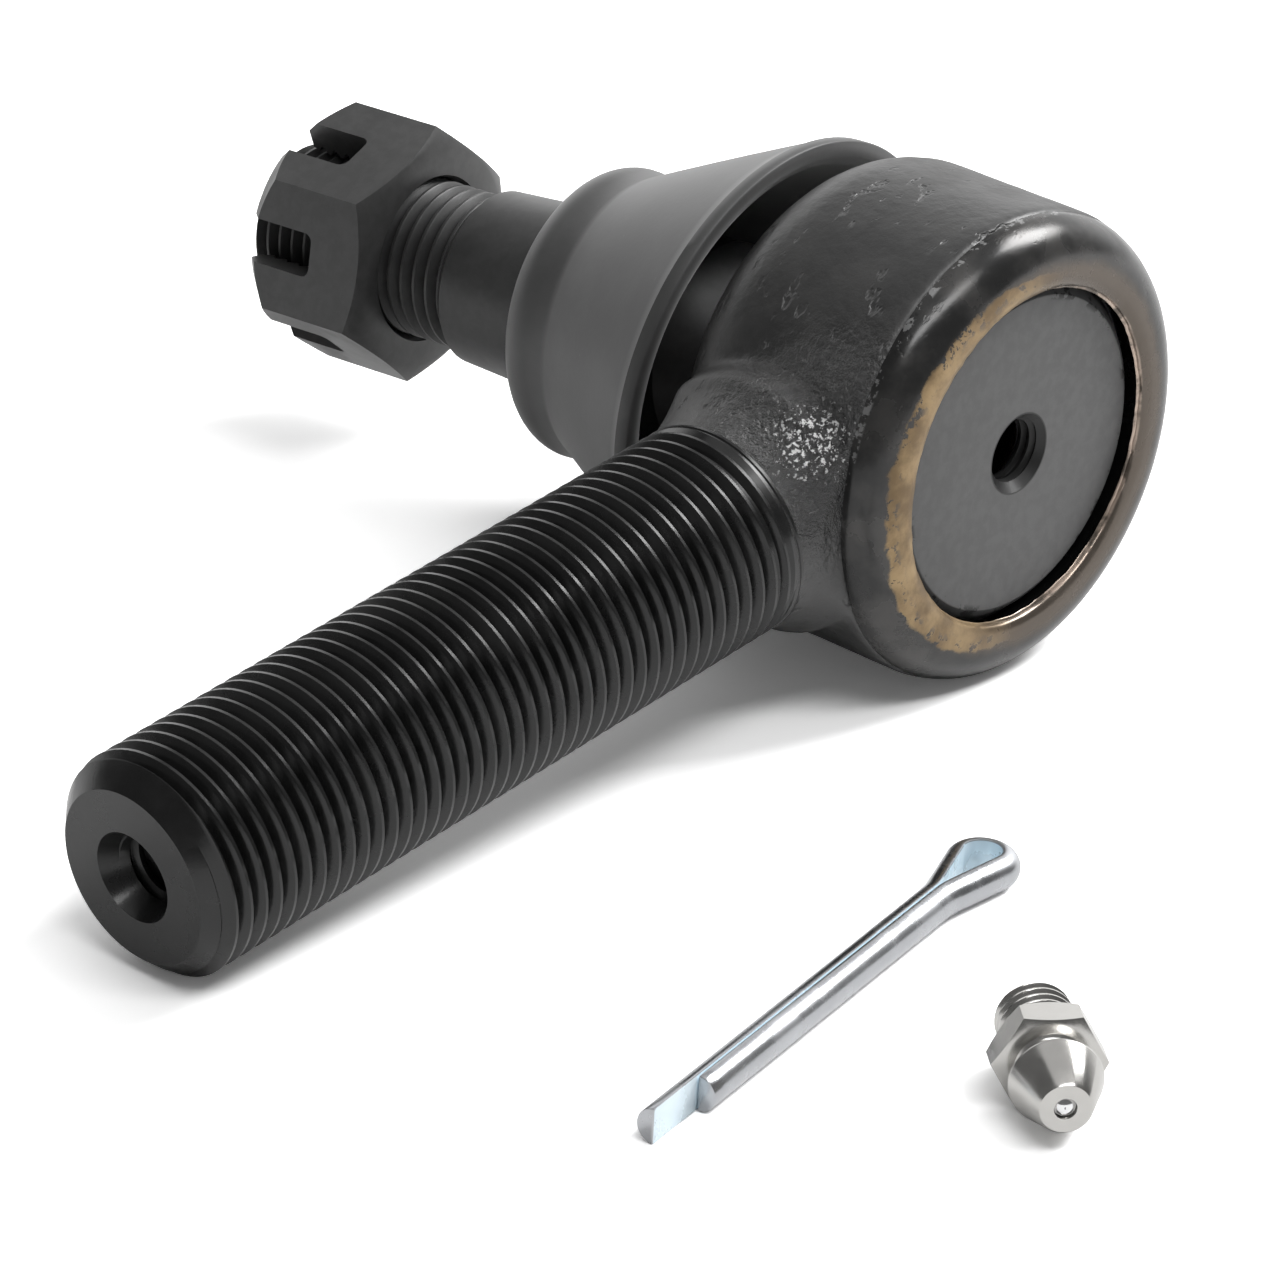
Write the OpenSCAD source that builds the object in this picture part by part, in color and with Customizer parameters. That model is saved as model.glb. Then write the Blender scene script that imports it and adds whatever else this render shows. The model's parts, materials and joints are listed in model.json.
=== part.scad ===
// Tie rod end: a forged socket with a threaded shank, its ball stud, bearings, boot and slotted nut,
// with the cotter pin and the grease fitting lying beside it. Millimetres, +Z up.
// The origin is the ball's centre. The socket's axis lies along Y, with the cover towards -Y.
// The shank runs towards -X and slopes down, so that its end and the socket rest on one surface.

/* [Socket body] */
// Radius of the forged socket body
body_r = 21; // [19:0.1:25.2]
// Radius of the rounded edge at the stud side
shoulder_r = 7.2; // [5:0.2:8]
// Thickness of the flange that holds the stud side bearing
flange_t = 3.5; // [2.5:0.1:5]
// Distance from the cover's face back to the line where the turned lip begins
turned_len = 1.5; // [1:0.1:2]
// How far the turned land lies inside the forged surface
turned_step = 0.3; // [0.1:0.1:0.8]
// Radius of the rolled lip's outer round
lip_round = 4; // [3:0.2:4.2]
// How far the rolled lip reaches in over the cover
lip_lap = 1.45; // [1:0.05:2.4]
// Thickness of the lip's thin inner edge
lip_edge = 0.35; // [0.2:0.05:0.6]
// Width of the ledge that the cover rests on
cover_ledge = 0.95; // [0.6:0.05:1.7]
// How much smaller the stud opening is than the ball, in radius
ball_lap = 1; // [0.6:0.1:1.4]
// Distance along the axis between the ball and the edge of the stud opening
flange_clear = 1.12; // [0.8:0.02:1.8]
// How much the stud opening widens towards the outside, in radius
opening_flare = 1.4; // [0.8:0.1:2.2]

/* [Shank] */
// Outside radius of the shank thread, 3/4 inch across
shank_r = 9.525; // [8:0.005:12]
// Thread pitch of the shank, 16 to the inch
shank_pitch = 1.5875; // [1.25:0.0125:2]
// Depth of the shank thread
shank_thread_depth = 0.974; // [0.7:0.002:1.1]
// Distance from the body to the first thread crest
root_len = 5.9; // [4:0.1:20]
// Distance from the socket axis to the shank end face
shank_len = 92.15; // [90:0.01:120]
// Distance from the end face to the first full crest
first_crest = 3.3; // [2.8:0.1:5]
// Radius of the shank end face
end_face_r = 7.5; // [6:0.1:8]
// Length of the chamfer on the shank end
end_chamfer = 1.7; // [1:0.1:2]
// Radius of the fillet where the shank meets the body
root_fillet = 7; // [4:0.5:8]
// How far the flare at the root reaches towards the stud
root_back = 6.2; // [6.1:0.1:7.5]
// How far the ball centre lies behind the shank axis
ball_set = 2.5; // [1:0.1:3]

/* [Shank end hole] */
// Radius of the thread crests in the shank end hole
end_hole_r = 2.6; // [2:0.05:3.5]
// Depth of the thread in the shank end hole
end_hole_thread_depth = 0.55; // [0.3:0.05:0.7]
// Thread pitch of the shank end hole, 20 to the inch
end_hole_pitch = 1.27; // [1:0.01:1.5]
// Number of thread grooves in the shank end hole
end_hole_turns = 8; // [4:1:12]
// How much wider the countersink's mouth is than the hole, in radius
end_sink = 1.3; // [0.8:0.1:2]
// Depth of the countersink
end_sink_depth = 2.2; // [1:0.1:3]

/* [Ball stud] */
// Radius of the ball
ball_r = 11; // [10.6:0.05:13.2]
// Distance from the ball centre to the flat on its cover side
ball_flat_z = 8; // [7:0.1:9]
// Radius of the stud neck
neck_r = 6.8; // [6:0.1:7.2]
// Distance from the ball centre to the end of the neck
neck_end = 15; // [13:0.5:17]
// Distance from the ball centre to the thick end of the taper
taper_start = 18.5; // [17:0.5:22]
// Distance from the ball centre to the thin end of the taper
taper_end = 43.7; // [40:0.1:44]
// Radius of the taper at its thin end
taper_end_r = 7.95; // [7.4:0.01:9.6]
// Growth of the taper radius per millimetre, 1.5 inches in the diameter per foot
taper_rate = 0.0625; // [0.04:0.0005:0.08]
// How far the stud's end stands out of the nut
stud_past = 2.3; // [0:0.1:4]
// Outside radius of the stud thread, 9/16 inch across
stud_thread_r = 7.144; // [6.35:0.001:8.6]
// Depth of the stud thread
stud_thread_depth = 0.866; // [0.6:0.002:0.9]
// Thread pitch of the stud, 18 to the inch
stud_pitch = 1.411; // [1.2:0.001:1.6]
// Radial play of the cotter pin in its hole
pin_play = 0.25; // [0.1:0.05:0.5]
// Distance from the stud end to the cotter pin hole
cotter_hole_in = 9.4; // [5:0.1:11]
// Angle between the stud and the socket axis as it lies
stud_lean = 5.2; // [0:0.1:12]
// Side to which the stud leans, counted round the socket axis
lean_side = 159.2; // [90:0.1:180]

/* [Bearings and cover] */
// Radial gap between the ball and its two bearings
ball_gap = 0.05; // [0.03:0.01:0.09]
// Gap round each piece that sits in the socket bore
seat_gap = 0.05; // [0.03:0.01:0.09]
// Distance from the ball centre to the near edge of each bearing
bearing_split = 0.3; // [0.2:0.05:0.8]
// Thickness of each bearing round the ball's middle
bearing_wall = 3.6; // [3:0.1:4]
// Distance from the ball's flat to the back of the cover side bearing
cup_floor = 1.4; // [1:0.1:2]
// Room for the preload spring between that bearing and the cover
spring_room = 2; // [1.6:0.1:2.6]
// Thickness of the cover plate
cover_t = 2.8; // [2.6:0.1:3]
// Wire thickness of the preload spring
spring_wire = 1.2; // [1:0.05:1.4]
// Gap between the largest coil of the preload spring and the bore
spring_edge = 1.3; // [0.6:0.1:2]
// Smallest coil radius of the preload spring
spring_small_r = 8.3; // [8:0.1:9]
// Number of turns of the preload spring
spring_turns = 2.5; // [1.5:0.25:2.75]

/* [Grease hole] */
// How far the grease fitting's thread reaches into the plate when it is screwed in
grease_engage = 0.37; // [0.2:0.01:0.45]
// Depth of the thread in the grease hole
grease_thread_depth = 0.42; // [0.3:0.01:0.5]
// Thread pitch of the grease hole and of the grease fitting, 28 to the inch
grease_pitch = 0.907; // [0.8:0.001:1]
// How much wider the grease hole's chamfered mouth is, in radius
grease_mouth = 0.85; // [0.5:0.05:1.2]

/* [Dust boot] */
// Distance from the ball centre along the stud to the boot collar's end
collar_end = 33.4; // [32:0.1:38]
// Height of the round shoulder below the collar
shoulder_len = 3; // [2:0.2:3.4]
// Width of the collar's flat end
collar_land = 1.36; // [0.8:0.02:2.4]
// How much the round shoulder widens the boot, in radius
shoulder_w = 3.2; // [2:0.1:4]
// Distance from the ball centre to the top of the flared skirt
skirt_top = 29; // [27:0.5:30]
// Distance from the ball centre along the stud to the rim
rim_z = 11.9; // [11.7:0.1:13]
// Height of the upright band at the rim
rim_band = 1.4; // [1:0.1:2.4]
// Radius of the rim across the boot
rim_r = 20.35; // [19.5:0.05:20.6]
// Extra rim radius up and down, where the soft rim is pressed out of round
rim_sag = 0.2; // [0:0.01:0.3]
// Wall thickness of the boot
boot_wall = 2; // [1.2:0.1:2.4]
// Wall thickness at the rim
rim_wall = 1.5; // [1:0.1:2]
// Shift of the rim off the stud axis, towards the lean and square to it
rim_shift = [-0.41, -0.12];
// Slope of the rim plane, towards the lean and square to it
rim_slope = [0.092, -0.081];
// Radial gap between the boot collar and the stud taper
collar_gap = 0.05; // [0.03:0.01:0.09]

/* [Slotted nut] */
// Width across the flats of the nut, 13/16 inch
nut_flats = 20.64; // [20:0.01:22.3]
// Distance from the taper's thin end to the nut's bearing face
nut_gap = 7.2; // [3:0.1:8]
// Height of the nut
nut_h = 13.2; // [12:0.1:14]
// How much wider the six slots are than the cotter pin
slot_play = 0.9; // [0.4:0.1:1.3]
// Depth of the six slots
slot_depth = 7.5; // [5:0.1:8]
// Length of the chamfer at the slotted end of the nut
nut_chamfer = 2.8; // [1:0.1:3.5]
// Gap between the nut's thread crests and the stud's thread roots
nut_thread_gap = 0.222; // [0.1:0.002:0.3]
// Radial play of the nut on the stud thread
nut_play = 0.06; // [0.04:0.01:0.1]

/* [Cotter pin] */
// Radius of the closed pin
pin_r = 1.55; // [1.3:0.05:1.75]
// Gap between the two legs
leg_gap = 0.1; // [0.05:0.05:0.3]
// Length of the long leg
long_leg = 44; // [35:1:60]
// How much shorter the other leg is
leg_step = 6.2; // [3:0.2:10]
// Inner radius of the eye
eye_r = 1.6; // [1.3:0.1:1.9]
// Distance from the neck to the centre of the eye
eye_reach = 7; // [6:0.5:10]
// Where the neck of the pin lies on the surface, X and Y
pin_at = [-36.9, -38.43];
// Heading of the legs
pin_heading = -168.6; // [-180:0.1:-150]

/* [Grease fitting] */
// Outside radius of the grease fitting's thread, 1/4 inch across
fitting_thread_r = 3.12; // [2.8:0.01:3.2]
// Depth of the grease fitting's thread
fitting_thread_depth = 0.48; // [0.3:0.01:0.5]
// Length of the threaded end
fitting_thread_len = 5.2; // [4:0.1:7]
// Width across the flats of the fitting's hexagon, 5/16 inch
fitting_flats = 7.94; // [7:0.01:9]
// Height of the hexagon
fitting_hex_h = 2.8; // [2:0.1:4]
// Radius of the neck under the head
fitting_neck_r = 2.4; // [2.3:0.05:2.8]
// Length of the neck
fitting_neck_len = 1.4; // [1:0.1:2]
// Largest radius of the head
fitting_head_r = 3.7; // [3:0.05:3.9]
// Length of the head
fitting_head_len = 4.9; // [4:0.1:6]
// Radius of the flat tip
fitting_tip_r = 2.1; // [1.9:0.05:2.5]
// Radius of the check ball
check_ball_r = 1.2; // [1.1:0.02:1.3]
// Radial play of the check ball in the channel inside
channel_play = 0.3; // [0.2:0.02:0.4]
// How much smaller the holes at both ends are than the check ball, in radius
port_lap = 0.3; // [0.2:0.02:0.4]
// Thickness of the wall round the tip hole
tip_wall = 0.4; // [0.3:0.05:0.6]
// Thickness of the turned-in threaded end
inlet_wall = 1.8; // [1:0.1:2.5]
// Gap between the check ball and its seat, and between the spring and what it touches
check_gap = 0.03; // [0.02:0.01:0.05]
// Wire thickness of the check spring
check_wire = 0.4; // [0.3:0.05:0.5]
// Number of turns of the check spring
check_turns = 6; // [4:1:8]
// Where the middle of the hexagon lies on the surface, X and Y
fitting_at = [-53.6, -63.1];
// Heading of the head
fitting_heading = -130.5; // [-180:0.5:0]

/* [Hidden] */
$fn = 96;
flank = tan(30);
surface_z = -body_r;

// The shank slopes until its last crest rests on the surface under the body.
crest_at = shank_len - first_crest;
slope = asin(body_r / norm([crest_at, shank_r])) - atan(shank_r / crest_at);
shank_crests = floor((crest_at - body_r - root_len) / shank_pitch) + 1;
thread_start = crest_at - (shank_crests - 1) * shank_pitch;

// The socket is built outwards from the ball.
opening_in_r = ball_r - ball_lap;
opening_out_r = opening_in_r + opening_flare;
flange_z = sqrt(pow(ball_r, 2) - pow(opening_in_r, 2)) + flange_clear;
rear_z = flange_z + flange_t;
bore_r = ball_r + ball_gap + bearing_wall + seat_gap;
cup_back = ball_flat_z + cup_floor;
cover_seat = cup_back + spring_room;
cover_face = cover_seat + cover_t;
cover_bore_r = bore_r + cover_ledge;
spring_big_r = bore_r - spring_edge - spring_wire / 2;
grease_hole_r = fitting_thread_r - grease_engage;
grease_mouth_r = grease_hole_r + grease_mouth;

turned_z = cover_face - turned_len;
turned_r = body_r - turned_step;
lip_inner_r = cover_bore_r - lip_lap;
lip_start = 15;
lip_mid = [turned_r - lip_round * cos(lip_start), -turned_z + lip_round * sin(lip_start)];
lip_crown = lip_round - lip_mid[1];

taper_start_r = taper_end_r + taper_rate * (taper_end - taper_start);
stud_root_r = stud_thread_r - stud_thread_depth;
nut_face = taper_end + nut_gap;
nut_thread_r = stud_root_r + nut_thread_gap;
stud_end = nut_face + nut_h + stud_past;
stud_first_crest = taper_end + 2.2;
stud_crests = floor((stud_end - 1.2 - stud_first_crest) / stud_pitch) + 1;
cotter_hole_r = pin_r + pin_play;
slot_w = 2 * pin_r + slot_play;
collar_r = taper_end_r + taper_rate * (taper_end - collar_end) + collar_gap;
collar_face_r = collar_r + collar_land;
boot_neck_r = collar_face_r + shoulder_w;
rim_low_side = lean_side - 180 + 131.5;

end_sink_r = end_hole_r + end_sink;
channel_r = check_ball_r + channel_play;
port_r = check_ball_r - port_lap;
fitting_len = fitting_thread_len + fitting_hex_h + fitting_neck_len + fitting_head_len;
fitting_hex_mid = fitting_thread_len + fitting_hex_h / 2;
ball_seat_z = fitting_len - tip_wall - sqrt(pow(check_ball_r, 2) - pow(port_r, 2)) - check_gap;

// Frames: along the socket axis towards the stud, along the shank, and along the leaning stud.
module along_socket() { rotate([-90, 0, 0]) children(); }
module along_shank() { translate([0, -ball_set, 0]) rotate([0, -90 - slope, 0]) children(); }
module along_stud() { along_socket() rotate([0, 0, lean_side]) rotate([0, stud_lean, 0]) children(); }
module at_fitting() {
    translate([fitting_at[0], fitting_at[1], surface_z + fitting_flats / 2])
        rotate([0, 90, fitting_heading]) translate([0, 0, -fitting_hex_mid]) children();
}

// Points on a circle arc, in a plane of radius and height.
function arc(centre, r, from, to, steps) =
    [for (i = [0:steps]) let (a = from + (to - from) * i / steps) centre + r * [cos(a), sin(a)]];

// Outline of thread rings: crests of radius crest_r at a steady pitch, with roots between them.
function rings(crest_r, root_r, pitch, crest_w, count, first) =
    let (side = abs(crest_r - root_r) * flank)
    [for (i = [0:count - 1]) let (z = first + i * pitch)
        each [[root_r, z - crest_w / 2 - side], [crest_r, z - crest_w / 2],
              [crest_r, z + crest_w / 2], [root_r, z + crest_w / 2 + side]]];

// A tube swept along rings of points, closed at both ends.
module sweep(loops) {
    n = len(loops[0]);
    last = len(loops) - 1;
    sides = [for (i = [0:last - 1]) for (j = [0:n - 1]) let (k = (j + 1) % n)
        each [[i * n + j, i * n + k, (i + 1) * n + k], [i * n + j, (i + 1) * n + k, (i + 1) * n + j]]];
    polyhedron([for (l = loops) each l],
               concat([[for (j = [n - 1:-1:0]) j]], sides, [[for (j = [0:n - 1]) last * n + j]]));
}

// A wire coil whose radius and height change evenly from one end to the other.
module coil(r0, r1, z0, z1, turns, wire) {
    steps = ceil(turns * 20);
    sweep([for (i = [0:steps]) let (t = i / steps, a = 360 * turns * t, r = r0 + (r1 - r0) * t)
        [for (j = [0:7]) let (b = 45 * j, q = r + wire / 2 * cos(b))
            [q * cos(a), q * sin(a), z0 + (z1 - z0) * t + wire / 2 * sin(b)]]]);
}

module tapped_hole(crest_r, depth, pitch, turns, top) {
    first = top - (turns - 0.5) * pitch;
    rotate_extrude() polygon(concat([[0, first - pitch], [crest_r, first - pitch]],
        rings(crest_r + depth, crest_r, pitch, pitch / 8, turns, first), [[crest_r, top + 1], [0, top + 1]]));
}

module body_solid() {
    rotate_extrude() polygon(concat(
        [[0, rear_z]],
        arc([body_r - shoulder_r, rear_z - shoulder_r], shoulder_r, 90, 0, 10),
        [[body_r, -turned_z + turned_step], [turned_r, -turned_z]],
        arc(lip_mid, lip_round, -lip_start, -90, 9),
        [[(lip_mid[0] + lip_inner_r) / 2, -lip_crown + 0.25],
         [lip_inner_r, -cover_face - seat_gap - lip_edge], [0, -cover_face - seat_gap - lip_edge]]));
}

module shank_solid() {
    root_r = shank_r - shank_thread_depth;
    rotate_extrude() polygon(concat(
        [[0, thread_start - root_fillet], [root_r, thread_start - root_fillet],
         [root_r, thread_start - shank_pitch]],
        rings(shank_r, root_r, shank_pitch, shank_pitch / 8, shank_crests, thread_start),
        [[root_r, shank_len - end_chamfer - 0.4], [shank_r - 0.3, shank_len - end_chamfer],
         [end_face_r, shank_len], [0, shank_len]]));
}

// The forged flare where the shank leaves the body, kept between the lip and the stud side.
module root_flare() {
    mid = [shank_r + root_fillet, thread_start - shank_pitch];
    intersection() {
        along_shank() rotate_extrude() polygon(concat(
            [[0, body_r / 2], [body_r * 0.68, body_r / 2]], arc(mid, root_fillet, 240, 180, 8), [[0, mid[1]]]));
        translate([-2 * body_r, -turned_z + turned_step, -2 * body_r])
            cube([4 * body_r, turned_z - turned_step + root_back, 4 * body_r]);
    }
}

module socket_housing() {
    color("#2b2b2d") difference() {
        union() {
            along_socket() body_solid();
            along_shank() shank_solid();
            root_flare();
        }
        along_socket() rotate_extrude() polygon([
            [0, -lip_crown - 1], [lip_inner_r, -lip_crown - 1], [lip_inner_r, -cover_face - seat_gap],
            [cover_bore_r, -cover_face - seat_gap], [cover_bore_r, -cover_seat], [bore_r, -cover_seat],
            [bore_r, flange_z], [opening_in_r, flange_z], [opening_out_r, rear_z], [opening_out_r, rear_z + 1],
            [0, rear_z + 1]]);
        along_shank() {
            tapped_hole(end_hole_r, end_hole_thread_depth, end_hole_pitch, end_hole_turns,
                        shank_len - end_sink_depth);
            translate([0, 0, shank_len - end_sink_depth])
                cylinder(h = end_sink_depth, r1 = end_hole_r, r2 = end_sink_r);
        }
    }
}

module stud_side_bearing() {
    color("#a89a78") along_socket() difference() {
        translate([0, 0, bearing_split])
            cylinder(h = flange_z - seat_gap - bearing_split, r = bore_r - seat_gap);
        sphere(r = ball_r + ball_gap);
    }
}

module cover_side_bearing() {
    color("#b3a684") along_socket() difference() {
        translate([0, 0, -cup_back]) cylinder(h = cup_back - bearing_split, r = bore_r - seat_gap);
        sphere(r = ball_r + ball_gap);
    }
}

module preload_spring() {
    half = spring_wire / 2 + seat_gap;
    color("#5c5f66") along_socket()
        coil(spring_big_r, spring_small_r, -cover_seat + half, -cup_back - half, spring_turns, spring_wire);
}

module cover_plate() {
    turns = floor((cover_t - 0.9) / grease_pitch);
    color("#4b4b4d") along_socket() difference() {
        translate([0, 0, -cover_face]) cylinder(h = cover_t, r = cover_bore_r - seat_gap);
        translate([0, 0, -cover_face]) mirror([0, 0, 1])
            tapped_hole(grease_hole_r, grease_thread_depth, grease_pitch, turns, -0.9);
        translate([0, 0, -cover_seat - 1]) cylinder(h = 2, r = grease_hole_r);
        translate([0, 0, -cover_face - 0.01])
            cylinder(h = grease_mouth_r - grease_hole_r, r1 = grease_mouth_r, r2 = grease_hole_r);
    }
}

module ball_stud() {
    color("#505154") along_stud() difference() {
        union() {
            intersection() {
                sphere(r = ball_r);
                translate([0, 0, -ball_flat_z]) cylinder(h = 2 * ball_r, r = 2 * ball_r);
            }
            rotate_extrude() polygon(concat(
                [[0, 0], [neck_r, 0], [neck_r, neck_end], [taper_start_r, taper_start],
                 [taper_end_r, taper_end], [stud_root_r, taper_end + taper_end_r - stud_root_r]],
                rings(stud_thread_r, stud_root_r, stud_pitch, stud_pitch / 8, stud_crests, stud_first_crest),
                [[stud_root_r, stud_end - 0.6], [stud_root_r - 0.6, stud_end], [0, stud_end]]));
        }
        translate([0, 0, stud_end - cotter_hole_in]) rotate([90, 0, 0])
            cylinder(h = 4 * stud_thread_r, r = cotter_hole_r, center = true);
    }
}

// One loop of the boot: radius r at height z, moved part of the way to the skewed rim.
function boot_loop(r, z, skew) = [for (i = [0:63]) let (
        a = 360 * i / 64,
        q = r + skew * rim_sag * pow(cos(a - rim_low_side), 2),
        x = q * cos(a), y = q * sin(a))
    [x + skew * rim_shift[0], y + skew * rim_shift[1], z + skew * (rim_slope[0] * x + rim_slope[1] * y)]];

module dust_boot() {
    shoulder_z = collar_end - shoulder_len;
    band_top = rim_z + rim_band;
    flare = (rim_r - boot_neck_r) / (skirt_top - band_top);
    outer = concat(
        [for (a = [90:-18:0]) boot_loop(collar_face_r + (boot_neck_r - collar_face_r) * cos(a),
                                        shoulder_z + shoulder_len * sin(a), 0)],
        [for (t = [0:0.2:1]) boot_loop(boot_neck_r + (rim_r - boot_neck_r) * t,
                                       skirt_top + (band_top - skirt_top) * t, t)],
        [boot_loop(rim_r, rim_z, 1)]);
    inner = concat(
        [boot_loop(rim_r - rim_wall, rim_z, 1)],
        [for (t = [1:-0.2:0]) boot_loop(boot_neck_r - boot_wall + (rim_r - boot_neck_r) * t,
                                        skirt_top + (band_top - skirt_top) * t - flare, t)],
        [boot_loop(boot_neck_r - boot_wall, shoulder_z, 0), boot_loop(collar_r + 0.3, shoulder_z + 1.5, 0),
         boot_loop(collar_r, collar_end, 0)]);
    loops = concat(outer, inner);
    n = 64;
    m = len(loops);
    color("#3a3a3c") along_stud() polyhedron([for (l = loops) each l],
        [for (i = [0:m - 1]) for (j = [0:n - 1]) let (k = (j + 1) % n, up = (i + 1) % m)
            each [[i * n + j, i * n + k, up * n + k], [i * n + j, up * n + k, up * n + j]]]);
}

module slotted_nut() {
    corner_r = nut_flats / 2 / cos(30);
    ridge_first = stud_first_crest + stud_pitch / 2;
    ridges = floor((nut_h - 1) / stud_pitch);
    skipped = ceil((nut_face + 0.5 - ridge_first) / stud_pitch);
    color("#4a4a4c") along_stud() difference() {
        intersection() {
            translate([0, 0, nut_face]) cylinder(h = nut_h, r = corner_r, $fn = 6);
            translate([0, 0, nut_face]) rotate_extrude() polygon([
                [0, 0], [nut_flats / 2 - 0.3, 0], [corner_r + 0.1, 1.2], [corner_r + 0.1, nut_h - nut_chamfer],
                [nut_flats / 2 - 0.9, nut_h], [0, nut_h]]);
        }
        rotate_extrude() polygon(concat(
            [[0, nut_face - 1], [stud_thread_r + nut_play, nut_face - 1]],
            rings(nut_thread_r, stud_thread_r + nut_play, stud_pitch, 0.3, ridges,
                  ridge_first + skipped * stud_pitch),
            [[stud_thread_r + nut_play, nut_face + nut_h + 1], [0, nut_face + nut_h + 1]]));
        for (a = [30:60:150]) rotate([0, 0, a])
            translate([-2 * corner_r, -slot_w / 2, nut_face + nut_h - slot_depth])
                cube([4 * corner_r, slot_w, slot_depth + 1]);
    }
}

// Half of a round wire whose flat side follows the stations, each a place and the heading of its back.
module half_round_wire(stations) {
    sweep([for (s = stations) [for (b = [-90:18:90])
        [s[0] + pin_r * cos(b) * cos(s[2]), s[1] + pin_r * cos(b) * sin(s[2]), pin_r * sin(b)]]]);
}

module cotter_pin() {
    side = leg_gap / 2;
    spread = asin((eye_r - side) / eye_reach);
    color("#c3c7cc") translate([pin_at[0], pin_at[1], surface_z + pin_r]) rotate([0, 0, pin_heading])
        half_round_wire(concat(
            [[long_leg - leg_step, side, 90], [0, side, 90 - spread / 2]],
            [for (i = [0:18]) let (a = 90 - spread + (180 + 2 * spread) * i / 18)
                [eye_r * cos(a) - eye_reach, eye_r * sin(a), a]],
            [[0, -side, 270 + spread / 2], [long_leg, -side, 270]]));
}

module grease_fitting_body() {
    hex_top = fitting_thread_len + fitting_hex_h;
    head_z = hex_top + fitting_neck_len;
    corner_r = fitting_flats / 2 / cos(30);
    root_r = fitting_thread_r - fitting_thread_depth;
    crests = floor((fitting_thread_len - 0.8) / grease_pitch);
    color("#c9c9cb") at_fitting() difference() {
        union() {
            rotate_extrude() polygon(concat(
                [[0, 0], [root_r - 0.1, 0]],
                rings(fitting_thread_r, root_r, grease_pitch, grease_pitch / 8, crests, 0.7),
                [[root_r, fitting_thread_len], [root_r, hex_top], [fitting_neck_r, hex_top],
                 [fitting_neck_r, head_z], [fitting_head_r, head_z + 0.6], [fitting_head_r, head_z + 1.3],
                 [fitting_tip_r, fitting_len], [0, fitting_len]]));
            intersection() {
                translate([0, 0, fitting_thread_len]) rotate([0, 0, 30])
                    cylinder(h = fitting_hex_h, r = corner_r, $fn = 6);
                translate([0, 0, fitting_thread_len]) rotate_extrude() polygon([
                    [0, 0], [corner_r - 0.5, 0], [corner_r + 0.1, 0.4], [corner_r + 0.1, fitting_hex_h - 0.5],
                    [corner_r - 0.7, fitting_hex_h], [0, fitting_hex_h]]);
            }
        }
        translate([0, 0, -1]) cylinder(h = fitting_len + 2, r = port_r);
        translate([0, 0, inlet_wall])
            cylinder(h = fitting_len - inlet_wall - tip_wall - (channel_r - port_r), r = channel_r);
        translate([0, 0, fitting_len - tip_wall - (channel_r - port_r)])
            cylinder(h = channel_r - port_r, r1 = channel_r, r2 = port_r);
    }
}

module grease_fitting_ball() {
    color("#d9d9db") at_fitting() translate([0, 0, ball_seat_z]) sphere(r = check_ball_r);
}

module grease_fitting_spring() {
    half = check_wire / 2 + check_gap;
    coil_r = channel_r - half - 0.05;
    touch = ball_seat_z - sqrt(pow(check_ball_r + half, 2) - pow(coil_r, 2));
    color("#9a9ca0") at_fitting()
        coil(coil_r, coil_r, inlet_wall + half, touch, check_turns, check_wire);
}

socket_housing();
stud_side_bearing();
cover_side_bearing();
preload_spring();
cover_plate();
ball_stud();
dust_boot();
slotted_nut();
cotter_pin();
grease_fitting_body();
grease_fitting_ball();
grease_fitting_spring();
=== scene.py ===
# %% [markdown]
# # Tie rod end
# A tie rod end joins a steering rod to the steering arm at the wheel. A forged socket holds a ball, the
# ball's
# stud carries a rubber boot and a slotted nut, and a cotter pin and a grease fitting lie beside the joint.
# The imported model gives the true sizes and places. This lesson builds the visible surfaces round it: threads
# that really climb, a forging with its rough skin, soft rubber and bright plating.

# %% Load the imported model
import json
import math
import bmesh
import bpy
from mathutils import Matrix, Vector, noise


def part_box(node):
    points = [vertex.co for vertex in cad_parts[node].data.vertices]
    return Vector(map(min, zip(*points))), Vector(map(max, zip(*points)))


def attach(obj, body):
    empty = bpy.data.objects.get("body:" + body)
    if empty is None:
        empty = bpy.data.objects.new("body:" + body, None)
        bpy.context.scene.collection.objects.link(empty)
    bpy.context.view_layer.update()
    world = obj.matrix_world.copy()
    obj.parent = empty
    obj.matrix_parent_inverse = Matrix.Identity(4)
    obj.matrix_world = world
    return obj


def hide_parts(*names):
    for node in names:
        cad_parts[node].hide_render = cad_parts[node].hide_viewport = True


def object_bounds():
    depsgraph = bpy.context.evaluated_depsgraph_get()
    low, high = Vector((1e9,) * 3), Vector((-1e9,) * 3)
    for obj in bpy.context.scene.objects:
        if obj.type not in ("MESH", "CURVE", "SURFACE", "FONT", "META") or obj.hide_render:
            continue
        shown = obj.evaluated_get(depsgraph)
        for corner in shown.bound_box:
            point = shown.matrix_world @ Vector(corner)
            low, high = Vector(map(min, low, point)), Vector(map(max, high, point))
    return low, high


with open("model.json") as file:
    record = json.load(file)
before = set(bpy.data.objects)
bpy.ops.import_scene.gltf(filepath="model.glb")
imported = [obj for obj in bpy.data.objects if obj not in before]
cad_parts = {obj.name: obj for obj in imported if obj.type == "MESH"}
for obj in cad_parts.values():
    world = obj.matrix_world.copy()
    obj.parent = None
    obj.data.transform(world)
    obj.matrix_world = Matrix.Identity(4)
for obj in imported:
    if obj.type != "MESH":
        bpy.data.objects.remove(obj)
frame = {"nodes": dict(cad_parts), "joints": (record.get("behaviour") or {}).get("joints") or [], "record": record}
cad_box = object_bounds()
mounts = {m["name"]: m for m in frame["record"]["mounts"]}
joints = {j["name"]: j for j in frame["joints"]}
MM = 0.001

# %% [markdown]
# ## Camera
# A long lens far away keeps parallel threads nearly parallel, as in a catalogue picture. The camera is aimed
# with a tracking rotation and then rolled a little, which is easier to read than a full rotation matrix.

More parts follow.
